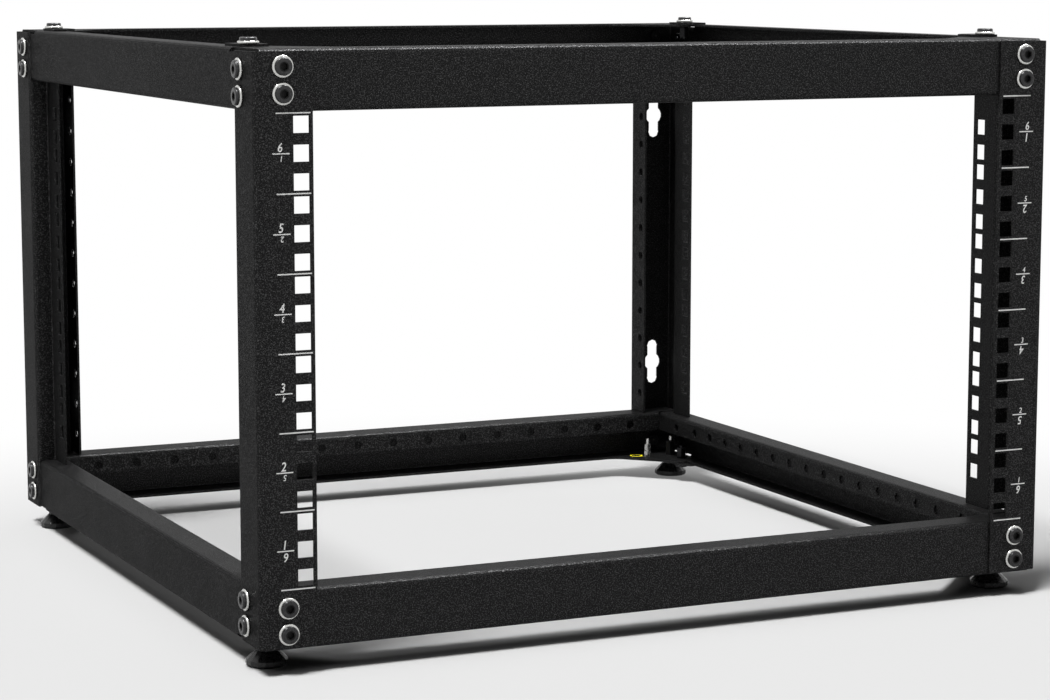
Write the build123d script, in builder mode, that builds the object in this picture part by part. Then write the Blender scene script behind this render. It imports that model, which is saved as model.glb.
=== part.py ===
"""Open-frame equipment rack, six units high, with four folded posts and eight folded beams.

X runs to the right seen from the front, Y runs to the back and Z runs up.
The origin lies on the floor, under the middle of the frame.
Lengths are in millimetres.
"""

import math
import os

from build123d import *

# Rack units and the square hole pattern of the mounting rails
unit_height = 44.45
unit_count = 6
hole_heights_in_unit = (6.35, 22.225, 38.1)
square_hole = 9.5
square_hole_setback = 6.8
rail_opening = 451.5

# Overall frame and sheet
post_face = 34.5
frame_depth = 500.0
sheet = 1.5
bend_inside = 1.0
bend_outside = bend_inside + sheet
fit_clearance = 0.25

# Posts, measured in plan from the outer corner
post_overhang = 33.7
side_wall = 33.6
inner_wall_inset = 14.05
post_depth = 58.6
inner_hole_setback = 7.5
rear_lip = 22.5
rear_lip_hole = 6.0
rear_lip_hole_setback = 16.0
rear_lip_hole_pitch = 21.6
rear_lip_hole_count = 12

# Keyholes in the rear flanges
keyhole_inset = 16.05
keyhole_spacing = 194.0
keyhole_slot_width = 8.5
keyhole_slot_length = 34.0
keyhole_round = 13.5

# Beams
cross_beam_height = 34.5
cross_beam_gap = 0.6
cross_beam_depth = 22.0
cross_beam_flange = 21.5
side_beam_depth = 19.5
side_beam_flange = 16.0
side_beam_end_gap = 2.5
lip_height = 14.0
lip_hole = 6.0
lip_hole_drop = 8.2
cross_lip_hole_margin = 25.5
cross_lip_hole_count = 16
side_lip_hole_margin = 28.5
side_lip_hole_gap = 30.0
side_lip_hole_count = 15

# Corner tabs of the beams, measured from the outer corner of the frame
gusset_reach = 82.5
cross_tab_depth = 62.5
cross_tab_bend = 16.0
side_tab_width = 25.0
side_tab_edge = 8.0
side_tab_lap = 7.25
side_tab_inset = 43.5

# Flats of the bends, holes and rods that repeat, where only a chosen few holes are truly round
bend_flats = 3
row_hole_sides = 8
side_row_hole_sides = 6
screw_hole_sides = 6
keyhole_sides = 16
rod_sides = 12
foot_sides = 16

# Screws that clamp the corners
screw_hole = 5.5
front_screw_inset = 16.85
front_screw_heights = (8.2, 23.2)
side_screw_inset = 22.5
side_screw_heights = (10.1, 25.1)
clamp_inset_x = 14.25
clamp_inset_y = 48.0

# Levelling feet and earth stud
foot_inset_x = 14.25
foot_inset_y = 30.0
foot_height = 12.5
foot_radius = 12.0
foot_base_radius = 11.0
foot_chamfer = 1.0
foot_rim = 3.6
foot_neck_radius = 6.2
foot_neck_height = 9.2
foot_stud = 4.0
foot_stud_tip = 4.0
foot_nut_width = 7.0
foot_nut_height = 11.0
earth_inset_x = 36.0
earth_inset_y = 33.0
earth_stud = 3.2
earth_stud_height = 16.0
earth_head_width = 5.5
earth_nut_width = 5.0
earth_nut_height = 5.0
earth_lock_width = 4.5
earth_lock_start = 5.6
earth_lock_height = 4.6

# Levels and faces that follow from the sizes above
half_width = rail_opening / 2 + post_face
square_hole_x = rail_opening / 2 + square_hole_setback
half_depth = frame_depth / 2
rail_height = unit_count * unit_height
side_tab_bottom = foot_height
cross_beam_bottom = side_tab_bottom + sheet
cross_beam_top = cross_beam_bottom + cross_beam_height
side_beam_bottom = cross_beam_bottom
side_beam_top = cross_beam_top
first_unit = cross_beam_top + cross_beam_gap
mid_height = first_unit + rail_height / 2
post_bottom = first_unit - post_overhang
post_length = rail_height + 2 * post_overhang
cross_wall_face = half_depth - sheet
side_wall_face = half_width - sheet
cross_end = side_wall_face - sheet - bend_inside - fit_clearance
side_end = cross_wall_face - side_beam_end_gap
cross_lip_face = cross_wall_face - cross_beam_depth
side_lip_face = side_wall_face - side_beam_depth
cross_lip_hole_pitch = 2 * (side_lip_face - cross_lip_hole_margin) / (cross_lip_hole_count - 1)
side_lip_end_hole = cross_lip_face - side_lip_hole_margin
side_lip_hole_pitch = 2 * (side_lip_end_hole - side_lip_hole_gap) / (side_lip_hole_count - 1)
inner_wall_face = half_width - inner_wall_inset
web_bottom = side_beam_top + fit_clearance
web_length = 2 * (mid_height - web_bottom)
rear_lip_bottom = cross_beam_top + fit_clearance
cut_margin = 10.0

os.makedirs("parts", exist_ok=True)


def spread(count, pitch):
    """Places of a row of holes about its middle."""
    return [(i - (count - 1) / 2) * pitch for i in range(count)]


def unit_hole_levels():
    """Heights of every square hole of the rail pattern."""
    return [first_unit + n * unit_height + h for n in range(unit_count) for h in hole_heights_in_unit]


def bent_path(corners, radii):
    """A right-angled path with each of its bends drawn in a few flats."""
    path = [corners[0]]
    for before, corner, after, radius in zip(corners, corners[1:], corners[2:], radii):
        start = corner + (before - corner).normalized() * radius
        end = corner + (after - corner).normalized() * radius
        centre = start + end - corner
        for step in range(bend_flats + 1):
            turn = math.pi / 2 * step / bend_flats
            path.append(centre + (start - centre) * math.cos(turn) + (end - centre) * math.sin(turn))
    return path + [corners[-1]]


def folded_profile(plane, path, radii, side):
    """Section of a folded sheet that lies on one side of the given right-angled path."""
    corners = [Vector(*corner) for corner in path]
    quarter = 90 if side == Side.LEFT else -90
    steps = [(b - a).normalized().rotate(Axis.Z, quarter) * sheet for a, b in zip(corners, corners[1:])]
    bends = [corner + before + after for corner, before, after in zip(corners[1:], steps, steps[1:])]
    far_corners = [corners[0] + steps[0], *bends, corners[-1] + steps[-1]]
    far_radii = [
        radius - sheet if (after - corner).dot(step) > 0 else radius + sheet
        for corner, after, step, radius in zip(corners[1:], corners[2:], steps, radii)
    ]
    near_side = bent_path(corners, radii)
    far_side = bent_path(far_corners, far_radii)
    with BuildSketch(plane) as section:
        with BuildLine():
            Polyline(*near_side, *reversed(far_side), close=True)
        make_face()
    return section.sketch


def square_punches(plane, centres):
    """Square holes of the rail pattern, drawn on a plane."""
    with BuildSketch(plane) as holes:
        with Locations(*centres):
            Rectangle(square_hole, square_hole)
    return holes.sketch


def round_punches(plane, centres, diameter):
    """Round holes of one size, drawn on a plane."""
    with BuildSketch(plane) as holes:
        with Locations(*centres):
            Circle(diameter / 2)
    return holes.sketch


def flat_sided_punches(plane, centres, diameter, sides):
    """Holes of one size with a few flat sides in place of a circle, drawn on a plane."""
    with BuildSketch(plane) as holes:
        with Locations(*centres):
            RegularPolygon(diameter / 2, sides, major_radius=False)
    return holes.sketch


def block(x_range, y_range, z_range):
    """Cutting block between three pairs of limits."""
    with BuildPart() as body:
        with Locations(((x_range[0] + x_range[1]) / 2, (y_range[0] + y_range[1]) / 2, (z_range[0] + z_range[1]) / 2)):
            Box(x_range[1] - x_range[0], y_range[1] - y_range[0], z_range[1] - z_range[0])
    return body.part


def web_cuts(y_range):
    """Blocks that clear the inner folds of a right-hand post beside the beams."""
    x_range = (0, side_wall_face)
    below = block(x_range, y_range, (0, web_bottom))
    above = block(x_range, y_range, (web_bottom + web_length, 2 * mid_height))
    return [below, above]


def screw_levels(heights):
    """Levels of the corner screws at the foot and at the head of a post."""
    low = [post_bottom + h for h in heights]
    high = [post_bottom + post_length - h for h in heights]
    return low + high


def post_screw_holes(y_sign):
    """Screw holes through the flange and the side wall of a right-hand post."""
    flange_plane = Plane.XZ.offset(-y_sign * half_depth)
    flange_points = [(half_width - front_screw_inset, z) for z in screw_levels(front_screw_heights)]
    wall_plane = Plane.YZ.offset(half_width)
    wall_points = [(y_sign * (half_depth - side_screw_inset), z) for z in screw_levels(side_screw_heights)]
    return [
        flat_sided_punches(flange_plane, flange_points, screw_hole, screw_hole_sides),
        flat_sided_punches(wall_plane, wall_points, screw_hole, screw_hole_sides),
    ]


# Front right post: flange with square holes, side wall, step and inner wall
front_face = -half_depth
front_post_path = [
    (rail_opening / 2, front_face),
    (half_width, front_face),
    (half_width, front_face + side_wall),
    (inner_wall_face + sheet, front_face + side_wall),
    (inner_wall_face + sheet, front_face + post_depth),
]
inner_hole_y = half_depth - post_depth + inner_hole_setback
with BuildPart() as post_front_right:
    extrude(
        folded_profile(
            Plane.XY.offset(post_bottom),
            front_post_path,
            [bend_outside, bend_outside, bend_inside],
            Side.LEFT,
        ),
        amount=post_length,
    )
    add(web_cuts((front_face + side_wall - bend_outside, front_face + post_depth + cut_margin)), mode=Mode.SUBTRACT)
    extrude(
        square_punches(Plane.XZ.offset(half_depth), [(square_hole_x, z) for z in unit_hole_levels()]),
        amount=sheet,
        both=True,
        mode=Mode.SUBTRACT,
    )
    extrude(
        square_punches(Plane.YZ.offset(inner_wall_face), [(-inner_hole_y, z) for z in unit_hole_levels()[1:-1]]),
        amount=2 * sheet,
        both=True,
        mode=Mode.SUBTRACT,
    )
    for holes in post_screw_holes(-1):
        extrude(holes, amount=sheet, both=True, mode=Mode.SUBTRACT)

# Rear right post: flange with keyholes and a drilled lip, side wall, step and inner wall
rear_post_path = [
    (rail_opening / 2, half_depth - rear_lip),
    (rail_opening / 2, half_depth),
    (half_width, half_depth),
    (half_width, half_depth - side_wall),
    (inner_wall_face + sheet, half_depth - side_wall),
    (inner_wall_face + sheet, half_depth - post_depth),
]
keyhole_slot_end = (keyhole_slot_length - keyhole_slot_width) / 2
with BuildSketch(Plane.XZ.offset(-half_depth)) as keyholes:
    with Locations(*[(half_width - keyhole_inset, mid_height + z) for z in spread(2, keyhole_spacing)]):
        Rectangle(keyhole_slot_width, 2 * keyhole_slot_end)
        RegularPolygon(keyhole_round / 2, keyhole_sides, major_radius=False, rotation=180 / keyhole_sides)
        with Locations((0, -keyhole_slot_end), (0, keyhole_slot_end)):
            RegularPolygon(keyhole_slot_width / 2, row_hole_sides, major_radius=False)
with BuildPart() as post_rear_right:
    extrude(
        folded_profile(
            Plane.XY.offset(post_bottom),
            rear_post_path,
            [bend_outside, bend_outside, bend_outside, bend_inside],
            Side.RIGHT,
        ),
        amount=post_length,
    )
    add(web_cuts((half_depth - post_depth - cut_margin, half_depth - side_wall + bend_outside)), mode=Mode.SUBTRACT)
    lip_zone_x = (0, rail_opening / 2 + bend_outside)
    lip_zone_y = (half_depth - rear_lip - cut_margin, half_depth - sheet)
    add(
        [
            block(lip_zone_x, lip_zone_y, (0, rear_lip_bottom)),
            block(lip_zone_x, lip_zone_y, (2 * mid_height - rear_lip_bottom, 2 * mid_height)),
        ],
        mode=Mode.SUBTRACT,
    )
    extrude(keyholes.sketch, amount=sheet, both=True, mode=Mode.SUBTRACT)
    lip_plane = Plane.YZ.offset(rail_opening / 2)
    lip_points = [
        (half_depth - rear_lip_hole_setback, mid_height + z)
        for z in spread(rear_lip_hole_count, rear_lip_hole_pitch)
    ]
    for holes in (
        round_punches(lip_plane, [lip_points[0], lip_points[-1]], rear_lip_hole),
        flat_sided_punches(lip_plane, lip_points[1:-1], rear_lip_hole, row_hole_sides),
    ):
        extrude(holes, amount=2 * sheet, both=True, mode=Mode.SUBTRACT)
    extrude(
        square_punches(Plane.YZ.offset(inner_wall_face), [(inner_hole_y, z) for z in unit_hole_levels()[1:-1]]),
        amount=2 * sheet,
        both=True,
        mode=Mode.SUBTRACT,
    )
    for holes in post_screw_holes(1):
        extrude(holes, amount=sheet, both=True, mode=Mode.SUBTRACT)

# Left posts are the right ones turned over, and the hole pattern is the same both ways up
with BuildPart() as post_front_left:
    mirror(post_front_right.part, about=Plane.YZ)
with BuildPart() as post_rear_left:
    mirror(post_rear_right.part, about=Plane.YZ)

# Front lower beam: wide flange with corner tabs below, drilled lip above
cross_path = [
    (-cross_wall_face + cross_beam_flange, cross_beam_bottom),
    (-cross_wall_face, cross_beam_bottom),
    (-cross_wall_face, cross_beam_top),
    (-cross_lip_face, cross_beam_top),
    (-cross_lip_face, cross_beam_top - lip_height),
]
flange_edge = -cross_wall_face + cross_beam_flange
tab_edge = -half_depth + cross_tab_depth
tab_start_x = half_width - (gusset_reach - (flange_edge + half_depth))
tab_full_x = half_width - (gusset_reach - cross_tab_depth)
with BuildSketch(Plane.XY.offset(cross_beam_bottom)) as cross_tabs:
    with BuildLine():
        FilletPolyline(
            (tab_start_x - cross_tab_bend, flange_edge),
            (tab_start_x, flange_edge),
            (tab_full_x, tab_edge),
            (cross_end, tab_edge),
            radius=(cross_tab_bend, cross_tab_bend / 2),
        )
        Polyline(
            (cross_end, tab_edge),
            (cross_end, flange_edge - sheet),
            (tab_start_x - cross_tab_bend, flange_edge - sheet),
            (tab_start_x - cross_tab_bend, flange_edge),
        )
    make_face()
    mirror(about=Plane.YZ)
cross_lip_points = [
    (x, cross_beam_top - lip_hole_drop) for x in spread(cross_lip_hole_count, cross_lip_hole_pitch)
]
cross_middle = cross_lip_hole_count // 2
cross_middle_pair = cross_lip_points[cross_middle - 1 : cross_middle + 1]
cross_outer_points = cross_lip_points[: cross_middle - 1] + cross_lip_points[cross_middle + 1 :]
cross_screw_points = [
    (sign * (half_width - front_screw_inset), post_bottom + h) for sign in (-1, 1) for h in front_screw_heights
]
tab_holes = [
    (sign * (half_width - inset_x), -half_depth + inset_y)
    for sign in (-1, 1)
    for inset_x, inset_y in ((foot_inset_x, foot_inset_y), (clamp_inset_x, clamp_inset_y))
]
with BuildPart() as beam_front_bottom:
    extrude(
        folded_profile(
            Plane.YZ.offset(-cross_end),
            cross_path,
            [bend_outside, bend_outside, bend_outside],
            Side.RIGHT,
        ),
        amount=2 * cross_end,
    )
    extrude(cross_tabs.sketch, amount=sheet)
    for x_range in ((-half_width, -side_lip_face), (side_lip_face, half_width)):
        add(
            block(
                x_range,
                (-cross_lip_face - bend_outside, -cross_lip_face + cut_margin),
                (cross_beam_bottom + 2 * sheet, side_beam_top + cut_margin),
            ),
            mode=Mode.SUBTRACT,
        )
    cross_lip_plane = Plane.XZ.offset(cross_lip_face)
    for holes in (
        round_punches(cross_lip_plane, cross_middle_pair, lip_hole),
        flat_sided_punches(cross_lip_plane, cross_outer_points, lip_hole, row_hole_sides),
    ):
        extrude(holes, amount=2 * sheet, both=True, mode=Mode.SUBTRACT)
    for holes in (
        flat_sided_punches(Plane.XZ.offset(cross_wall_face), cross_screw_points, screw_hole, screw_hole_sides),
        flat_sided_punches(Plane.XY.offset(cross_beam_bottom), tab_holes, screw_hole, screw_hole_sides),
    ):
        extrude(holes, amount=sheet, both=True, mode=Mode.SUBTRACT)

middle = Plane.XY.offset(mid_height)
earth_point = (half_width - earth_inset_x, half_depth - earth_inset_y)
with BuildPart() as beam_front_top:
    mirror(beam_front_bottom.part, about=middle)
with BuildPart() as beam_rear_top:
    mirror(beam_front_top.part, about=Plane.XZ)
with BuildPart() as beam_rear_bottom:
    mirror(beam_front_bottom.part, about=Plane.XZ)
    extrude(
        flat_sided_punches(
            Plane.XY.offset(cross_beam_bottom), [earth_point], earth_stud + fit_clearance, rod_sides
        ),
        amount=sheet,
        both=True,
        mode=Mode.SUBTRACT,
    )

# Right lower beam: level with the cross beams, with corner tabs one sheet lower that lie under theirs
side_path = [
    (side_wall_face - side_beam_flange, side_beam_bottom),
    (side_wall_face, side_beam_bottom),
    (side_wall_face, side_beam_top),
    (side_lip_face, side_beam_top),
    (side_lip_face, side_beam_top - lip_height),
]
side_tab_x = half_width - side_tab_width
side_tab_outer_x = half_width - side_tab_edge
side_flange_x = side_wall_face - side_beam_flange
side_bend_x = side_wall_face - bend_outside
side_tab_end = half_depth - side_tab_inset
side_flange_end = half_depth - cross_tab_depth - fit_clearance
side_tab_y = side_flange_end - side_tab_lap
with BuildSketch(Plane.XY.offset(side_tab_bottom)) as side_tabs:
    with BuildLine():
        Polyline(
            (side_flange_x, -side_tab_y),
            (side_tab_x, -side_tab_y - (side_flange_x - side_tab_x)),
            (side_tab_x, -side_tab_end),
            (side_tab_outer_x, -side_tab_end),
            (side_tab_outer_x, -side_tab_y),
            close=True,
        )
    make_face()
    mirror(about=Plane.XZ)
side_lip_places = spread(side_lip_hole_count, side_lip_hole_pitch) + [-side_lip_end_hole, side_lip_end_hole]
side_lip_points = [(y, side_beam_top - lip_hole_drop) for y in side_lip_places]
side_screw_points = [
    (sign * (half_depth - side_screw_inset), post_bottom + h) for sign in (-1, 1) for h in side_screw_heights
]
side_tab_holes = [(half_width - clamp_inset_x, sign * (half_depth - clamp_inset_y)) for sign in (-1, 1)]
with BuildPart() as beam_right_bottom:
    extrude(
        folded_profile(
            Plane.XZ.offset(-side_end),
            side_path,
            [bend_outside, bend_outside, bend_outside],
            Side.LEFT,
        ),
        amount=2 * side_end,
    )
    corner_cuts = (
        (side_bend_x, side_flange_end, -cut_margin, sheet),
        (side_wall_face + cut_margin, side_tab_end, -cut_margin, bend_outside),
        (side_bend_x, cross_lip_face - fit_clearance, bend_outside, cross_beam_height + cut_margin),
    )
    for outer_x, start_y, low, high in corner_cuts:
        for y_range in ((-half_depth, -start_y), (start_y, half_depth)):
            z_range = (side_beam_bottom + low, side_beam_bottom + high)
            add(block((side_lip_face - cut_margin, outer_x), y_range, z_range), mode=Mode.SUBTRACT)
    extrude(side_tabs.sketch, amount=sheet)
    extrude(
        flat_sided_punches(Plane.YZ.offset(side_lip_face), side_lip_points, lip_hole, side_row_hole_sides),
        amount=2 * sheet,
        both=True,
        mode=Mode.SUBTRACT,
    )
    for holes in (
        flat_sided_punches(Plane.YZ.offset(side_wall_face), side_screw_points, screw_hole, screw_hole_sides),
        flat_sided_punches(Plane.XY.offset(side_tab_bottom), side_tab_holes, screw_hole, screw_hole_sides),
    ):
        extrude(holes, amount=sheet, both=True, mode=Mode.SUBTRACT)
with BuildPart() as beam_right_top:
    mirror(beam_right_bottom.part, about=middle)
with BuildPart() as beam_left_bottom:
    mirror(beam_right_bottom.part, about=Plane.YZ)
with BuildPart() as beam_left_top:
    mirror(beam_right_top.part, about=Plane.YZ)

frame_pieces = {
    "post_front_left": post_front_left,
    "post_front_right": post_front_right,
    "post_rear_left": post_rear_left,
    "post_rear_right": post_rear_right,
    "beam_front_bottom": beam_front_bottom,
    "beam_front_top": beam_front_top,
    "beam_rear_bottom": beam_rear_bottom,
    "beam_rear_top": beam_rear_top,
    "beam_left_bottom": beam_left_bottom,
    "beam_left_top": beam_left_top,
    "beam_right_bottom": beam_right_bottom,
    "beam_right_top": beam_right_top,
}
for name, piece in frame_pieces.items():
    piece.part.label = name
    export_step(piece.part, f"parts/{name}.step")

# Levelling feet: a low cone on a thick disc, with a stud that runs up through the cross beam's tab
tab_top = cross_beam_bottom + sheet
foot_top = tab_top + foot_nut_height + foot_stud_tip
foot_shoulder = cross_beam_bottom
foot_flare = -math.degrees(math.atan((foot_radius - foot_base_radius) / foot_chamfer))
foot_slope = math.degrees(math.atan((foot_radius - foot_neck_radius) / (foot_neck_height - foot_rim)))
corners = {"front_left": (-1, -1), "front_right": (1, -1), "rear_left": (-1, 1), "rear_right": (1, 1)}
for corner, (x_sign, y_sign) in corners.items():
    foot_place = (x_sign * (half_width - foot_inset_x), y_sign * (half_depth - foot_inset_y))
    with BuildPart() as foot:
        foot_sections = (
            (0, foot_base_radius, foot_chamfer, foot_flare),
            (foot_chamfer, foot_radius, foot_rim - foot_chamfer, 0),
            (foot_rim, foot_radius, foot_neck_height - foot_rim, foot_slope),
            (foot_neck_height, foot_neck_radius, foot_shoulder - foot_neck_height, 0),
        )
        for level, radius, height, slope in foot_sections:
            with BuildSketch(Plane.XY.offset(level)):
                with Locations(foot_place):
                    RegularPolygon(radius, foot_sides, major_radius=False)
            extrude(amount=height, taper=slope)
        with BuildSketch(Plane.XY.offset(foot_shoulder)):
            with Locations(foot_place):
                RegularPolygon(foot_stud / 2, rod_sides)
        extrude(amount=foot_top - foot_shoulder)
    foot.part.label = f"foot_{corner}"
    export_step(foot.part, f"parts/foot_{corner}.step")

    with BuildPart() as foot_nut:
        with BuildSketch(Plane.XY.offset(tab_top)):
            with Locations(foot_place):
                RegularPolygon(foot_nut_width / 2, 6, major_radius=False)
                RegularPolygon((foot_stud + fit_clearance) / 2, rod_sides, major_radius=False, mode=Mode.SUBTRACT)
        extrude(amount=foot_nut_height)
    foot_nut.part.label = f"foot_nut_{corner}"
    export_step(foot_nut.part, f"parts/foot_nut_{corner}.step")

# Earth stud with its flat head and two nuts, on the tab at the rear right corner
with BuildPart() as earth_stud_piece:
    with BuildSketch(Plane.XY.offset(cross_beam_bottom - sheet)):
        with Locations(earth_point):
            RegularPolygon(earth_head_width / 2, rod_sides)
    extrude(amount=sheet)
    with BuildSketch(Plane.XY.offset(cross_beam_bottom)):
        with Locations(earth_point):
            RegularPolygon(earth_stud / 2, rod_sides)
    extrude(amount=earth_stud_height)
earth_stud_piece.part.label = "earth_stud"
export_step(earth_stud_piece.part, "parts/earth_stud.step")

earth_bore = (earth_stud + fit_clearance) / 2
earth_nuts = ((0, earth_nut_width, earth_nut_height), (earth_lock_start, earth_lock_width, earth_lock_height))
with BuildPart() as earth_nut:
    for start, width, height in earth_nuts:
        with BuildSketch(Plane.XY.offset(tab_top + start)):
            with Locations(earth_point):
                RegularPolygon(width / 2, 6, major_radius=False)
                RegularPolygon(earth_bore, rod_sides, major_radius=False, mode=Mode.SUBTRACT)
        extrude(amount=height)
earth_nut.part.label = "earth_nut"
export_step(earth_nut.part, "parts/earth_nut.step")
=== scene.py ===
"""Dresses the open-frame rack: its finishes, screws, rail markings, earth mark, floor, light and camera."""

import math

import bmesh
import bpy
from bpy.props import FloatProperty, FloatVectorProperty, IntProperty, PointerProperty
from mathutils import Matrix, Vector


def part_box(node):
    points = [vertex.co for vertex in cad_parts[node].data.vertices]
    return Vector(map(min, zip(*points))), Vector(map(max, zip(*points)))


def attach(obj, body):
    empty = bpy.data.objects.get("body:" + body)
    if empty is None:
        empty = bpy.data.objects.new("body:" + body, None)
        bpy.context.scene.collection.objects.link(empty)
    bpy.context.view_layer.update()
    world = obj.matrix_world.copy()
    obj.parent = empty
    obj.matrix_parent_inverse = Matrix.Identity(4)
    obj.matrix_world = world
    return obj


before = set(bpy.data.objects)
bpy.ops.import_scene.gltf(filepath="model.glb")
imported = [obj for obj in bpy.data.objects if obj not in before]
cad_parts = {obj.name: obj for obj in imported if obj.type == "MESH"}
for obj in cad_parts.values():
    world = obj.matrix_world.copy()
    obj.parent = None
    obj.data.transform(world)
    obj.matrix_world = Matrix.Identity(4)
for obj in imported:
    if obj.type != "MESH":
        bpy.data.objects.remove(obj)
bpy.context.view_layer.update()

bl_info = {
    "name": "Open-frame rack dressing",
    "version": (1, 0, 0),
    "blender": (4, 5, 0),
    "location": "View3D > Sidebar > Rack",
    "description": "Adds the finishes, screws, rail markings and stage of a low open-frame rack",
    "category": "Object",
}

# Faces and levels of the frame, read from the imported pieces
POST_LOW, POST_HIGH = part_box("post_front_right")
TABS_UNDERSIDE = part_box("beam_right_bottom")[0].z
TABS_TOP_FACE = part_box("beam_right_top")[1].z
HALF_WIDTH = POST_HIGH.x
HALF_DEPTH = -POST_LOW.y
MIDDLE_HEIGHT = (POST_LOW.z + POST_HIGH.z) / 2
SHEET = 0.0015
UNIT_HEIGHT = 0.04445
UNIT_COUNT = 6
FIRST_UNIT = MIDDLE_HEIGHT - UNIT_COUNT * UNIT_HEIGHT / 2
CORNERS = (("front_left", -1, -1), ("front_right", 1, -1), ("rear_left", -1, 1), ("rear_right", 1, 1))

# A hair of air between a piece and the face that it rests on
SEAT = 0.00002

# Screws: the shank, the bright flange, the socket and the thread behind the sheets
SHANK_RADIUS = 0.0024
SHANK_SIDES = 12
FLANGE_HEIGHT = 0.0018
FLANGE_RIM = 0.0012
SOCKET_DEPTH = 0.0022
SCREW_THREAD = (0.0016, 0.0007)
SCREW_MATERIALS = ("bright_zinc", "screw_dome", "socket_shade", "black_oxide")
ZINC, DOME, SOCKET, OXIDE = range(4)

# Nuts behind the sheets: width across flats, height, and the thread past the nut
CORNER_NUT = (0.008, 0.0034, 0.0018)
CLAMP_NUT = (0.0067, 0.008, 0.002)

# Places of the screws, from the outer faces and from the ends of the posts
FACE_SCREW_INSET = 0.01685
FACE_SCREW_LEVELS = (0.0082, 0.0232)
SIDE_SCREW_INSET = 0.0225
SIDE_SCREW_LEVELS = (0.0101, 0.0251)
CLAMP_SCREW_INSET = (0.01425, 0.048)

# Threaded ends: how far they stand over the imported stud, then radius and pitch
STUD_SKIN = 0.0001
FOOT_THREAD = (0.0022, 0.0007)
EARTH_THREAD = (0.00178, 0.0005)

# Printed marks: the ink's lift and thickness, and the gaps between the bar and its numbers
INK_LIFT = 0.00001
INK_THICKNESS = 0.00004
UPPER_NUMBER_GAP = 0.0009
LOWER_NUMBER_GAP = 0.0011
DIGIT_NARROWING = 0.84
DIGIT_SLANT = 0.13
DIGIT_WEIGHT = 0.012

# Each rail's marks: ends of the unit line, ends of the bar, middles of the upper and the
# lower number, and whether the large number of each unit is the upper one
RAILS = (
    ("left", (-0.2475, -0.2272), (-0.2496, -0.2396), (-0.2450, -0.2445), True),
    ("right", (0.2282, 0.2483), (0.2406, 0.2508), (0.2466, 0.2460), False),
)

# Earth mark on the rear right tab: its middle, and the inner and outer radius of its ring
EARTH_MARK = (0.219, 0.2257, TABS_UNDERSIDE + 2 * SHEET + INK_LIFT)
EARTH_MARK_RADII = (0.0033, 0.0051)

# Floor: middle of the lit part, and the distances from it where the floor fades to white
FLOOR_PLACE = (-0.1, -0.3, -0.0002)
FLOOR_HALF_SIZE = 12.0
FADE_START = 0.5
FADE_END = 0.95

# Directions from the rack toward the lights
OVERHEAD_TOWARD = (-0.1, -0.05, 1.0)
KEY_TOWARD = (-0.28, -0.12, 0.93)
SHEEN_TOWARD = (0.41, 0.14, 0.9)

# Camera at the photograph's viewing angle
CAMERA_PLACE = (-0.772795, -1.710149, 0.397864)
CAMERA_TURN = (90 - 7.83551, 0.0, -24.83079)
CAMERA_LENS = 96.686
CAMERA_SENSOR = 36.0


class ScrewSettings(bpy.types.PropertyGroup):
    """Sizes of the screws that clamp the corners."""

    flange_radius: FloatProperty(
        name="Flange radius", description="Radius of the bright flange under a screw's head",
        default=0.0063, min=0.003, max=0.01, unit="LENGTH", subtype="DISTANCE")
    head_height: FloatProperty(
        name="Head height", description="Height of a screw's head over the sheet",
        default=0.0037, min=0.002, max=0.006, unit="LENGTH", subtype="DISTANCE")
    clamp_flange_radius: FloatProperty(
        name="Clamp flange radius", description="Radius of the flange on the upright clamping screws",
        default=0.0062, min=0.003, max=0.01, unit="LENGTH", subtype="DISTANCE")
    clamp_head_height: FloatProperty(
        name="Clamp head height", description="Height of the head of the upright clamping screws",
        default=0.0038, min=0.002, max=0.006, unit="LENGTH", subtype="DISTANCE")
    socket_width: FloatProperty(
        name="Socket width", description="Width across the flats of the hexagon sockets",
        default=0.0040, min=0.001, max=0.006, unit="LENGTH", subtype="DISTANCE")
    sides: IntProperty(
        name="Sides", description="Flat sides round each screw head", default=32, min=12, max=64)


class MarkingSettings(bpy.types.PropertyGroup):
    """Sizes of the white unit marks on the rails."""

    line_width: FloatProperty(
        name="Line width", description="Width of the line between two units",
        default=0.00075, min=0.0003, max=0.002, unit="LENGTH", subtype="DISTANCE")
    large_digit: FloatProperty(
        name="Large digit", description="Height of the large unit numbers",
        default=0.0052, min=0.002, max=0.01, unit="LENGTH", subtype="DISTANCE")
    small_digit: FloatProperty(
        name="Small digit", description="Height of the small unit numbers",
        default=0.0034, min=0.001, max=0.01, unit="LENGTH", subtype="DISTANCE")


class FinishSettings(bpy.types.PropertyGroup):
    """Colours and grain of the finishes."""

    coat: FloatVectorProperty(
        name="Powder coat", description="Colour of the black powder coat",
        default=(0.013, 0.013, 0.0132), min=0.0, max=1.0, size=3, subtype="COLOR")
    # Painted glints: pale specks in the coat's colour that stand in for light catching its orange peel
    coat_speck: FloatVectorProperty(
        name="Coat painted glints", description="Colour of the pale specks in the powder coat",
        default=(0.074, 0.074, 0.0745), min=0.0, max=1.0, size=3, subtype="COLOR")
    coat_grain: FloatProperty(
        name="Coat grain", description="Width of one bump of the powder coat's texture",
        default=0.00036, min=0.0003, max=0.004, unit="LENGTH", subtype="DISTANCE")
    zinc: FloatVectorProperty(
        name="Zinc", description="Colour of the bright zinc plating",
        default=(0.62, 0.62, 0.60), min=0.0, max=1.0, size=3, subtype="COLOR")
    ink: FloatVectorProperty(
        name="Rail ink", description="Colour of the unit marks",
        default=(0.84, 0.84, 0.83), min=0.0, max=1.0, size=3, subtype="COLOR")
    earth_ink: FloatVectorProperty(
        name="Earth ink", description="Colour of the round earth mark",
        default=(1.0, 0.86, 0.005), min=0.0, max=1.0, size=3, subtype="COLOR")


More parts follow.
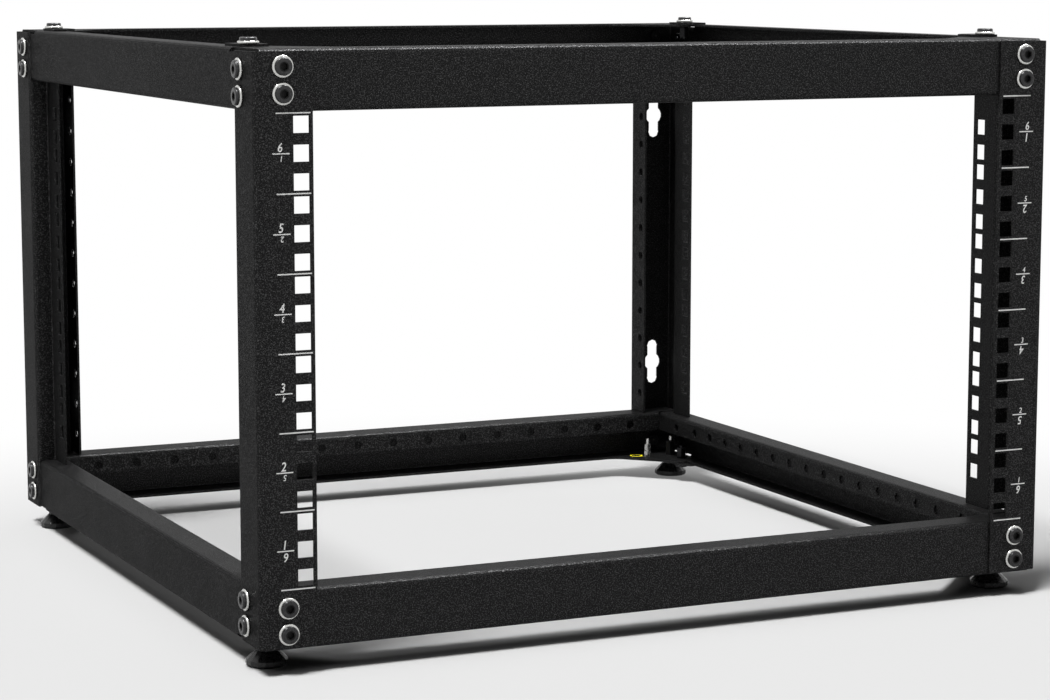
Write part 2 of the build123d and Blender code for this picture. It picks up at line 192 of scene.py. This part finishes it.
class StageSettings(bpy.types.PropertyGroup):
    """Floor and light of the studio."""

    floor_colour: FloatVectorProperty(
        name="Floor", description="Colour of the pale floor",
        default=(0.55, 0.55, 0.55), min=0.0, max=1.0, size=3, subtype="COLOR")
    overhead: FloatProperty(
        name="Overhead light", description="Strength of the wide light overhead",
        default=0.7, min=0.0, max=20.0)
    overhead_width: FloatProperty(
        name="Overhead width", description="How wide the overhead light looks from the floor",
        default=math.radians(90), min=0.0, max=math.pi, unit="ROTATION", subtype="ANGLE")
    key: FloatProperty(
        name="Key light", description="Strength of the light from the upper left",
        default=4.2, min=0.0, max=20.0)
    key_width: FloatProperty(
        name="Key width", description="How wide the light from the upper left looks",
        default=math.radians(18), min=0.0, max=math.pi, unit="ROTATION", subtype="ANGLE")
    sheen: FloatProperty(
        name="Sheen light", description="Strength of the light that only draws highlights on the bends",
        default=8.0, min=0.0, max=20.0)
    sheen_width: FloatProperty(
        name="Sheen width", description="How wide the light for the highlights looks",
        default=math.radians(24), min=0.0, max=math.pi, unit="ROTATION", subtype="ANGLE")
    fill: FloatProperty(
        name="Fill light", description="Brightness of the surroundings on matte surfaces",
        default=0.015, min=0.0, max=1.0)


def new_material(name):
    """A node material with its shader and coordinates, ready for more nodes."""
    material = bpy.data.materials.new(name)
    material.use_nodes = True
    tree = material.node_tree
    shader = tree.nodes["Principled BSDF"]
    coordinates = tree.nodes.new("ShaderNodeTexCoord")
    return material, tree, shader, coordinates


def grain(tree, coordinates, size, detail=2.0):
    """A noise texture whose bumps are about that wide, in metres."""
    noise = tree.nodes.new("ShaderNodeTexNoise")
    noise.inputs["Scale"].default_value = 1 / (2 * size)
    noise.inputs["Detail"].default_value = detail
    tree.links.new(coordinates.outputs["Object"], noise.inputs["Vector"])
    return noise


def shade_between(tree, source, socket, low, high):
    """Colour ramp from a texture into a shader's colour. low and high are (place, colour) pairs."""
    ramp = tree.nodes.new("ShaderNodeValToRGB")
    for element, (place, colour) in zip(ramp.color_ramp.elements, (low, high)):
        element.position = place
        element.color = (*colour, 1.0)
    tree.links.new(source, ramp.inputs["Fac"])
    tree.links.new(ramp.outputs["Color"], socket)


def vary(tree, source, socket, low, high):
    """Carries a texture into a number socket, between two limits."""
    spread = tree.nodes.new("ShaderNodeMapRange")
    spread.inputs["From Min"].default_value = 0.3
    spread.inputs["From Max"].default_value = 0.7
    spread.inputs["To Min"].default_value = low
    spread.inputs["To Max"].default_value = high
    tree.links.new(source, spread.inputs["Value"])
    tree.links.new(spread.outputs["Result"], socket)


def raise_grain(tree, source, shader, strength, depth):
    """Bump from a texture, that deep in metres."""
    bump = tree.nodes.new("ShaderNodeBump")
    bump.inputs["Strength"].default_value = strength
    bump.inputs["Distance"].default_value = depth
    tree.links.new(source, bump.inputs["Height"])
    tree.links.new(bump.outputs["Normal"], shader.inputs["Normal"])


def powder_coat(finish):
    """Black powder coat with a fine orange peel, and pale specks in its colour that are painted glints of
    light on the peel.
    """
    material, tree, shader, coordinates = new_material("powder_coat")
    fine = grain(tree, coordinates, finish.coat_grain)
    dark = tuple(finish.coat)
    painted_glint = tuple(finish.coat_speck)
    # Painted glints: pale specks mixed into the coat's colour, in place of light catching the peel
    shade_between(tree, fine.outputs["Fac"], shader.inputs["Base Color"], (0.5, dark), (0.72, painted_glint))
    broad = grain(tree, coordinates, 0.03)
    vary(tree, broad.outputs["Fac"], shader.inputs["Roughness"], 0.36, 0.42)
    raise_grain(tree, fine.outputs["Fac"], shader, 1.0, 0.0003)
    shader.inputs["Metallic"].default_value = 0.7
    shader.inputs["Specular IOR Level"].default_value = 0.0
    shader.inputs["Specular Tint"].default_value = (0.5, 0.5, 0.5, 1.0)
    return material


def bright_zinc(finish):
    """Bright zinc plating with faint polishing marks."""
    material, tree, shader, coordinates = new_material("bright_zinc")
    shader.inputs["Metallic"].default_value = 1.0
    marks = grain(tree, coordinates, 0.0004, 3.0)
    tone = tuple(finish.zinc)
    dull = tuple(0.72 * value for value in tone)
    shade_between(tree, marks.outputs["Fac"], shader.inputs["Base Color"], (0.3, dull), (0.65, tone))
    vary(tree, marks.outputs["Fac"], shader.inputs["Roughness"], 0.16, 0.3)
    raise_grain(tree, marks.outputs["Fac"], shader, 0.08, 0.00005)
    return material


def dark_steel(name, tone, roughness):
    """Black oxide on steel, slightly uneven."""
    material, tree, shader, coordinates = new_material(name)
    shader.inputs["Metallic"].default_value = 0.7
    clouds = grain(tree, coordinates, 0.0008, 3.0)
    shade_between(
        tree, clouds.outputs["Fac"], shader.inputs["Base Color"],
        (0.35, tuple(0.7 * value for value in tone)), (0.65, tone))
    vary(tree, clouds.outputs["Fac"], shader.inputs["Roughness"], roughness, roughness + 0.1)
    raise_grain(tree, clouds.outputs["Fac"], shader, 0.1, 0.0001)
    return material


def foot_plastic():
    """Moulded black plastic of the levelling feet, with a fine spark texture."""
    material, tree, shader, coordinates = new_material("foot_plastic")
    spark = grain(tree, coordinates, 0.0005, 3.0)
    shade_between(
        tree, spark.outputs["Fac"], shader.inputs["Base Color"],
        (0.35, (0.008, 0.008, 0.0082)), (0.7, (0.016, 0.016, 0.0165)))
    vary(tree, spark.outputs["Fac"], shader.inputs["Roughness"], 0.24, 0.34)
    raise_grain(tree, spark.outputs["Fac"], shader, 0.2, 0.0001)
    shader.inputs["Specular IOR Level"].default_value = 0.3
    return material


def print_ink(name, colour):
    """Screen-printed ink, a little thin where the coat's bumps come through."""
    material, tree, shader, coordinates = new_material(name)
    patches = grain(tree, coordinates, 0.0004)
    thin = tuple(0.88 * value for value in colour)
    shade_between(tree, patches.outputs["Fac"], shader.inputs["Base Color"], (0.35, thin), (0.55, colour))
    vary(tree, patches.outputs["Fac"], shader.inputs["Roughness"], 0.5, 0.65)
    raise_grain(tree, patches.outputs["Fac"], shader, 0.15, 0.0001)
    return material


def vertex_round(mesh, place, radius, angle, height):
    """A vertex at that radius, angle and height round the axis of place."""
    return mesh.verts.new(place @ Vector((radius * math.cos(angle), radius * math.sin(angle), height)))


def add_band(mesh, first, second, material_index, smooth=False):
    """Joins two rings of vertices with a band of faces."""
    for i in range(len(first)):
        j = (i + 1) % len(first)
        face = mesh.faces.new((first[i], first[j], second[j], second[i]))
        face.material_index = material_index
        face.smooth = smooth


def turned_rings(mesh, rings, sides, place, material_index=0):
    """Adds a turned surface: rings are (radius, height) pairs, up the axis of place."""
    loops = [
        [vertex_round(mesh, place, radius, 2 * math.pi * i / sides, height) for i in range(sides)]
        for radius, height in rings
    ]
    for low, high in zip(loops, loops[1:]):
        add_band(mesh, low, high, material_index, smooth=True)
    return loops


def close_ring(mesh, loop, material_index=0, turned_over=False):
    """Closes a ring with one flat face."""
    face = mesh.faces.new(tuple(reversed(loop)) if turned_over else tuple(loop))
    face.material_index = material_index


def add_socket(mesh, rim, sides, place, top, bottom, width, material_index):
    """Hexagon socket in the flat of a screw's head, from its rim down."""
    corner = width / math.sqrt(3)

    def ring(height):
        points = []
        for i in range(sides):
            angle = 2 * math.pi * i / sides
            sector = (angle + math.pi / 6) % (math.pi / 3) - math.pi / 6
            radius = corner * math.cos(math.pi / 6) / math.cos(sector)
            points.append(vertex_round(mesh, place, radius, angle, height))
        return points

    edge, floor = ring(top), ring(bottom)
    add_band(mesh, rim, edge, material_index)
    add_band(mesh, edge, floor, material_index)
    close_ring(mesh, floor, material_index)


def add_screw(mesh, place, sizes, flange_radius, head_height, nut):
    """One screw with a straight-sided flanged head, its shank, nut and end.

    The axis of place points out of the sheet. nut is its width, its height and the thread past it.
    """
    side = flange_radius - FLANGE_RIM
    flange = [
        (SHANK_RADIUS, SEAT), (flange_radius - 0.0002, SEAT), (flange_radius, 0.0002),
        (flange_radius, FLANGE_HEIGHT - 0.0005), (flange_radius - 0.0004, FLANGE_HEIGHT - 0.0001),
        (side, FLANGE_HEIGHT),
    ]
    turned_rings(mesh, flange, sizes.sides, place, ZINC)
    head = [
        (side, FLANGE_HEIGHT), (side - 0.00005, head_height - 0.0007),
        (side - 0.0002, head_height - 0.0003), (side - 0.0006, head_height - 0.00005),
        (side - 0.0009, head_height), (0.55 * side, head_height),
    ]
    rim = turned_rings(mesh, head, sizes.sides, place, DOME)[-1]
    add_socket(
        mesh, rim, sizes.sides, place, head_height, head_height - SOCKET_DEPTH, sizes.socket_width, SOCKET)
    grip = 2 * SHEET + SEAT
    nut_width, nut_height, spare = nut
    turned_rings(mesh, [(SHANK_RADIUS, -grip), (SHANK_RADIUS, SEAT)], SHANK_SIDES, place, OXIDE)
    add_nut(mesh, place, -grip - SEAT, nut_width, nut_height, OXIDE)
    add_thread(mesh, place, -grip - nut_height - spare, -grip, *SCREW_THREAD, material_index=OXIDE)


def add_nut(mesh, place, top, width, height, material_index):
    """Hexagon nut under that level, with chamfered corners."""
    corner = width / math.sqrt(3)
    levels = [(0.92, top - height), (1.0, top - 0.88 * height), (1.0, top - 0.12 * height), (0.92, top)]
    loops = [
        [vertex_round(mesh, place, share * corner, math.pi * i / 3, level) for i in range(6)]
        for share, level in levels
    ]
    for low, high in zip(loops, loops[1:]):
        add_band(mesh, low, high, material_index)
    close_ring(mesh, loops[0], material_index, turned_over=True)
    close_ring(mesh, loops[-1], material_index)


def add_thread(mesh, place, bottom, top, radius, pitch, sides=16, material_index=0):
    """Threaded rod end, as ridges between two heights, with a bevelled free end at the bottom."""
    rings = [(0.55 * radius, bottom), (0.85 * radius, bottom + 0.3 * pitch)]
    level = bottom + 0.5 * pitch
    while level + pitch <= top:
        rings += [(radius, level + 0.25 * pitch), (0.88 * radius, level + 0.75 * pitch)]
        level += pitch
    rings.append((0.9 * radius, top))
    loops = turned_rings(mesh, rings, sides, place, material_index)
    close_ring(mesh, loops[0], material_index, turned_over=True)
    close_ring(mesh, loops[-1], material_index)


def finish_piece(name, mesh, materials):
    """Turns built geometry into a piece that rides on the frame."""
    bmesh.ops.recalc_face_normals(mesh, faces=mesh.faces)
    data = bpy.data.meshes.new(name)
    mesh.to_mesh(data)
    mesh.free()
    piece = bpy.data.objects.new(name, data)
    bpy.context.scene.collection.objects.link(piece)
    for material in materials:
        data.materials.append(material)
    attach(piece, "root")
    return piece


def facing(point, outward):
    """Place whose third axis points outward, at that point."""
    turn = Vector(outward).to_track_quat("Z", "Y").to_matrix().to_4x4()
    return Matrix.Translation(Vector(point)) @ turn


def material_named(name):
    """A finish that the first operator made."""
    found = bpy.data.materials.get(name)
    if found is None:
        raise RuntimeError(f"the finish {name} is missing: run the finishes first")
    return found


def levels_on_post(distances):
    """Heights at those distances from the lower and from the upper end of a post."""
    from_below = [POST_LOW.z + distance for distance in distances]
    return from_below + [POST_HIGH.z - distance for distance in reversed(distances)]


class RACK_OT_finishes(bpy.types.Operator):
    """Makes the finishes and puts them on the frame's sheets, feet, nuts and stud"""

    bl_idname = "rack.finishes"
    bl_label = "Finish the frame"

    def execute(self, context):
        finish = context.scene.rack_finish
        coat = powder_coat(finish)
        zinc = bright_zinc(finish)
        oxide = dark_steel("black_oxide", (0.02, 0.02, 0.021), 0.3)
        dark_steel("screw_dome", (0.04, 0.04, 0.041), 0.24)
        # Painted shade: the socket's darker tone stands in for the shade inside the recess
        dark_steel("socket_shade", (0.008, 0.008, 0.008), 0.5)
        plastic = foot_plastic()
        print_ink("rail_ink", tuple(finish.ink))
        print_ink("earth_ink", tuple(finish.earth_ink))
        for name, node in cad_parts.items():
            if name.startswith(("post_", "beam_")):
                material = coat
            elif name.startswith("foot_nut"):
                material = oxide
            elif name.startswith("foot_"):
                material = plastic
            else:
                material = zinc
            if not node.material_slots:
                raise RuntimeError(f"{name} has no material slot")
            for slot in node.material_slots:
                slot.material = material
        return {"FINISHED"}


class RACK_OT_corner_screws(bpy.types.Operator):
    """Adds the screws through the front, rear and side faces of every post"""

    bl_idname = "rack.corner_screws"
    bl_label = "Add corner screws"

    def execute(self, context):
        sizes = context.scene.rack_screws
        materials = [material_named(name) for name in SCREW_MATERIALS]
        for corner, x_sign, y_sign in CORNERS:
            mesh = bmesh.new()
            places = [
                facing((x_sign * (HALF_WIDTH - FACE_SCREW_INSET), y_sign * HALF_DEPTH, z), (0, y_sign, 0))
                for z in levels_on_post(FACE_SCREW_LEVELS)
            ]
            places += [
                facing((x_sign * HALF_WIDTH, y_sign * (HALF_DEPTH - SIDE_SCREW_INSET), z), (x_sign, 0, 0))
                for z in levels_on_post(SIDE_SCREW_LEVELS)
            ]
            for place in places:
                add_screw(mesh, place, sizes, sizes.flange_radius, sizes.head_height, CORNER_NUT)
            finish_piece(f"corner_screws_{corner}", mesh, materials)
        return {"FINISHED"}


class RACK_OT_clamp_screws(bpy.types.Operator):
    """Adds the upright screws that clamp the beams' corner tabs together"""

    bl_idname = "rack.clamp_screws"
    bl_label = "Add clamp screws"

    def execute(self, context):
        sizes = context.scene.rack_screws
        materials = [material_named(name) for name in SCREW_MATERIALS]
        for corner, x_sign, y_sign in CORNERS:
            mesh = bmesh.new()
            x = x_sign * (HALF_WIDTH - CLAMP_SCREW_INSET[0])
            y = y_sign * (HALF_DEPTH - CLAMP_SCREW_INSET[1])
            for height, up in ((TABS_TOP_FACE, 1), (TABS_UNDERSIDE, -1)):
                add_screw(
                    mesh, facing((x, y, height), (0, 0, up)), sizes,
                    sizes.clamp_flange_radius, sizes.clamp_head_height, CLAMP_NUT)
            finish_piece(f"clamp_screws_{corner}", mesh, materials)
        return {"FINISHED"}


def add_stud_end(name, stud, nut, thread, air):
    """Bright threaded end over a stud, from past its tip down to that much air over its nut."""
    low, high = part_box(stud)
    tip = high.z + STUD_SKIN
    upside_down = facing(((low.x + high.x) / 2, (low.y + high.y) / 2, tip), (0, 0, -1))
    mesh = bmesh.new()
    add_thread(mesh, upside_down, 0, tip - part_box(nut)[1].z - air, *thread)
    finish_piece(name, mesh, [material_named("bright_zinc")])


class RACK_OT_stud_ends(bpy.types.Operator):
    """Adds the bright threaded ends of the foot studs and of the earth stud"""

    bl_idname = "rack.stud_ends"
    bl_label = "Add stud ends"

    def execute(self, context):
        for corner, _, _ in CORNERS:
            add_stud_end(f"stud_end_{corner}", f"foot_{corner}", f"foot_nut_{corner}", FOOT_THREAD, SEAT)
        add_stud_end("earth_stud_thread", "earth_stud", "earth_nut", EARTH_THREAD, STUD_SKIN)
        return {"FINISHED"}


def add_flat_bar(mesh, left, right, middle, width):
    """Thin printed bar on the front face of a rail, a closed solid."""
    corners = []
    for y in (-HALF_DEPTH - INK_LIFT, -HALF_DEPTH - INK_LIFT - INK_THICKNESS):
        corners.append([
            mesh.verts.new((left, y, middle - width / 2)), mesh.verts.new((right, y, middle - width / 2)),
            mesh.verts.new((right, y, middle + width / 2)), mesh.verts.new((left, y, middle + width / 2)),
        ])
    back, front = corners
    mesh.faces.new(tuple(reversed(back)))
    mesh.faces.new(tuple(front))
    for i in range(4):
        j = (i + 1) % 4
        mesh.faces.new((back[i], back[j], front[j], front[i]))


def add_digit(mesh, digit, centre, height, upright):
    """One slanted, narrow digit on the front face of a rail, upright or turned over."""
    curve = bpy.data.curves.new("digit", "FONT")
    curve.body = str(digit)
    curve.resolution_u = 3
    curve.extrude = 0.5
    curve.offset = DIGIT_WEIGHT
    writer = bpy.data.objects.new("digit", curve)
    bpy.context.scene.collection.objects.link(writer)
    bpy.context.view_layer.update()
    shape = bpy.data.meshes.new_from_object(writer.evaluated_get(bpy.context.evaluated_depsgraph_get()))
    bpy.data.objects.remove(writer)
    bpy.data.curves.remove(curve)
    xs = [v.co.x for v in shape.vertices]
    ys = [v.co.y for v in shape.vertices]
    mid_x, mid_y = (min(xs) + max(xs)) / 2, (min(ys) + max(ys)) / 2
    scale = height / (max(ys) - min(ys))
    turn = 1 if upright else -1
    for v in shape.vertices:
        up = (v.co.y - mid_y) * scale
        across = (v.co.x - mid_x) * scale * DIGIT_NARROWING + DIGIT_SLANT * up
        out = -HALF_DEPTH - INK_LIFT - INK_THICKNESS * (v.co.z + 0.5)
        v.co = (centre[0] + turn * across, out, centre[1] + turn * up)
    mesh.from_mesh(shape)
    bpy.data.meshes.remove(shape)


class RACK_OT_rail_markings(bpy.types.Operator):
    """Prints the unit lines and the unit numbers on both front rails"""

    bl_idname = "rack.rail_markings"
    bl_label = "Add rail markings"

    def execute(self, context):
        sizes = context.scene.rack_marks
        for side, line, bar, (upper_middle, lower_middle), large_above in RAILS:
            mesh = bmesh.new()
            for n in range(UNIT_COUNT + 1):
                add_flat_bar(mesh, *line, FIRST_UNIT + n * UNIT_HEIGHT, sizes.line_width)
            for n in range(UNIT_COUNT):
                level = FIRST_UNIT + (n + 0.5) * UNIT_HEIGHT
                upper = sizes.large_digit if large_above or n == UNIT_COUNT - 1 else sizes.small_digit
                lower = sizes.small_digit if large_above and n > 0 else sizes.large_digit
                above = level + UPPER_NUMBER_GAP + upper / 2
                below = level - LOWER_NUMBER_GAP - lower / 2
                add_flat_bar(mesh, *bar, level, 0.9 * sizes.line_width)
                add_digit(mesh, n + 1, (upper_middle, above), upper, True)
                add_digit(mesh, UNIT_COUNT - n, (lower_middle, below), lower, False)
            finish_piece(f"unit_marks_{side}", mesh, [material_named("rail_ink")])
        return {"FINISHED"}


class RACK_OT_earth_mark(bpy.types.Operator):
    """Prints the round yellow earth mark beside the earth stud"""

    bl_idname = "rack.earth_mark"
    bl_label = "Add earth mark"

    def execute(self, context):
        mesh = bmesh.new()
        inner, outer = EARTH_MARK_RADII
        section = [(inner, 0.0), (inner, INK_THICKNESS), (outer, INK_THICKNESS), (outer, 0.0), (inner, 0.0)]
        turned_rings(mesh, section, 40, facing(EARTH_MARK, (0, 0, 1)))
        bmesh.ops.remove_doubles(mesh, verts=mesh.verts, dist=1e-7)
        finish_piece("earth_mark", mesh, [material_named("earth_ink")])
        return {"FINISHED"}


def floor_material(colour):
    """Pale floor that fades into the white surroundings away from the rack."""
    material, tree, shader, coordinates = new_material("floor_pale")
    shader.inputs["Base Color"].default_value = (*colour, 1.0)
    shader.inputs["Roughness"].default_value = 0.8
    shader.inputs["Specular IOR Level"].default_value = 0.0
    white = tree.nodes.new("ShaderNodeEmission")
    mixed = tree.nodes.new("ShaderNodeMixShader")
    distance = tree.nodes.new("ShaderNodeVectorMath")
    distance.operation = "LENGTH"
    fade = tree.nodes.new("ShaderNodeMapRange")
    fade.interpolation_type = "SMOOTHSTEP"
    fade.inputs["From Min"].default_value = FADE_START
    fade.inputs["From Max"].default_value = FADE_END
    tree.links.new(coordinates.outputs["Object"], distance.inputs[0])
    tree.links.new(distance.outputs["Value"], fade.inputs["Value"])
    tree.links.new(fade.outputs["Result"], mixed.inputs["Fac"])
    tree.links.new(shader.outputs["BSDF"], mixed.inputs[1])
    tree.links.new(white.outputs["Emission"], mixed.inputs[2])
    tree.links.new(mixed.outputs["Shader"], tree.nodes["Material Output"].inputs["Surface"])
    return material


class RACK_OT_stage(bpy.types.Operator):
    """Adds the pale floor, the white surroundings, the lights and the camera"""

    bl_idname = "rack.stage"
    bl_label = "Add stage"

    def execute(self, context):
        stage = context.scene.rack_stage
        mesh = bmesh.new()
        bmesh.ops.create_grid(mesh, x_segments=8, y_segments=8, size=FLOOR_HALF_SIZE)
        data = bpy.data.meshes.new("floor")
        mesh.to_mesh(data)
        mesh.free()
        floor = bpy.data.objects.new("floor", data)
        floor.location = FLOOR_PLACE
        data.materials.append(floor_material(tuple(stage.floor_colour)))
        context.scene.collection.objects.link(floor)

        world = bpy.data.worlds.new("studio")
        world.use_nodes = True
        tree = world.node_tree
        seen = tree.nodes["Background"]
        seen.inputs["Color"].default_value = (1.0, 1.0, 1.0, 1.0)
        seen.inputs["Strength"].default_value = 1.0
        lit = tree.nodes.new("ShaderNodeBackground")
        lit.inputs["Color"].default_value = (1.0, 1.0, 1.0, 1.0)
        lit.inputs["Strength"].default_value = stage.fill
        path = tree.nodes.new("ShaderNodeLightPath")
        either = tree.nodes.new("ShaderNodeMath")
        either.operation = "MAXIMUM"
        any_of = tree.nodes.new("ShaderNodeMath")
        any_of.operation = "MAXIMUM"
        tree.links.new(path.outputs["Is Camera Ray"], either.inputs[0])
        tree.links.new(path.outputs["Is Glossy Ray"], either.inputs[1])
        tree.links.new(either.outputs[0], any_of.inputs[0])
        tree.links.new(path.outputs["Is Transmission Ray"], any_of.inputs[1])
        mixed = tree.nodes.new("ShaderNodeMixShader")
        tree.links.new(any_of.outputs[0], mixed.inputs["Fac"])
        tree.links.new(lit.outputs["Background"], mixed.inputs[1])
        tree.links.new(seen.outputs["Background"], mixed.inputs[2])
        tree.links.new(mixed.outputs["Shader"], tree.nodes["World Output"].inputs["Surface"])
        context.scene.world = world

        lights = (
            ("overhead", stage.overhead, stage.overhead_width, OVERHEAD_TOWARD, True),
            ("key", stage.key, stage.key_width, KEY_TOWARD, True),
            ("sheen", stage.sheen, stage.sheen_width, SHEEN_TOWARD, False),
        )
        for name, strength, width, toward, lights_matte in lights:
            sun = bpy.data.lights.new(name, "SUN")
            sun.energy = strength
            sun.angle = width
            lamp = bpy.data.objects.new(name, sun)
            lamp.rotation_euler = Vector(toward).to_track_quat("Z", "Y").to_euler()
            lamp.visible_diffuse = lights_matte
            context.scene.collection.objects.link(lamp)

        lens = bpy.data.cameras.new("camera")
        lens.sensor_width = CAMERA_SENSOR
        lens.lens = CAMERA_LENS
        lens.clip_start = 0.05
        lens.clip_end = 60.0
        camera = bpy.data.objects.new("camera", lens)
        camera.location = CAMERA_PLACE
        camera.rotation_euler = [math.radians(turn) for turn in CAMERA_TURN]
        context.scene.collection.objects.link(camera)
        context.scene.camera = camera
        context.scene.view_settings.view_transform = "Standard"
        return {"FINISHED"}


OPERATORS = (
    RACK_OT_finishes, RACK_OT_corner_screws, RACK_OT_clamp_screws, RACK_OT_stud_ends,
    RACK_OT_rail_markings, RACK_OT_earth_mark, RACK_OT_stage,
)
SETTINGS = {
    "rack_screws": ScrewSettings,
    "rack_marks": MarkingSettings,
    "rack_finish": FinishSettings,
    "rack_stage": StageSettings,
}


class RACK_PT_panel(bpy.types.Panel):
    """Lists the rack's pieces and their settings"""

    bl_idname = "RACK_PT_panel"
    bl_label = "Open-frame rack"
    bl_space_type = "VIEW_3D"
    bl_region_type = "UI"
    bl_category = "Rack"

    def draw(self, context):
        for name, group in SETTINGS.items():
            box = self.layout.box()
            for key in group.__annotations__:
                box.prop(getattr(context.scene, name), key)
        for operator in OPERATORS:
            self.layout.operator(operator.bl_idname)


def register():
    for group in SETTINGS.values():
        bpy.utils.register_class(group)
    for name, group in SETTINGS.items():
        setattr(bpy.types.Scene, name, PointerProperty(type=group))
    for item in (*OPERATORS, RACK_PT_panel):
        bpy.utils.register_class(item)


def unregister():
    for item in reversed((*OPERATORS, RACK_PT_panel)):
        bpy.utils.unregister_class(item)
    for name in SETTINGS:
        delattr(bpy.types.Scene, name)
    for group in reversed(tuple(SETTINGS.values())):
        bpy.utils.unregister_class(group)


def main():
    register()
    bpy.ops.rack.finishes()
    bpy.ops.rack.corner_screws()
    bpy.ops.rack.clamp_screws()
    bpy.ops.rack.stud_ends()
    bpy.ops.rack.rail_markings()
    bpy.ops.rack.earth_mark()
    bpy.ops.rack.stage()


if __name__ == "__main__":
    main()
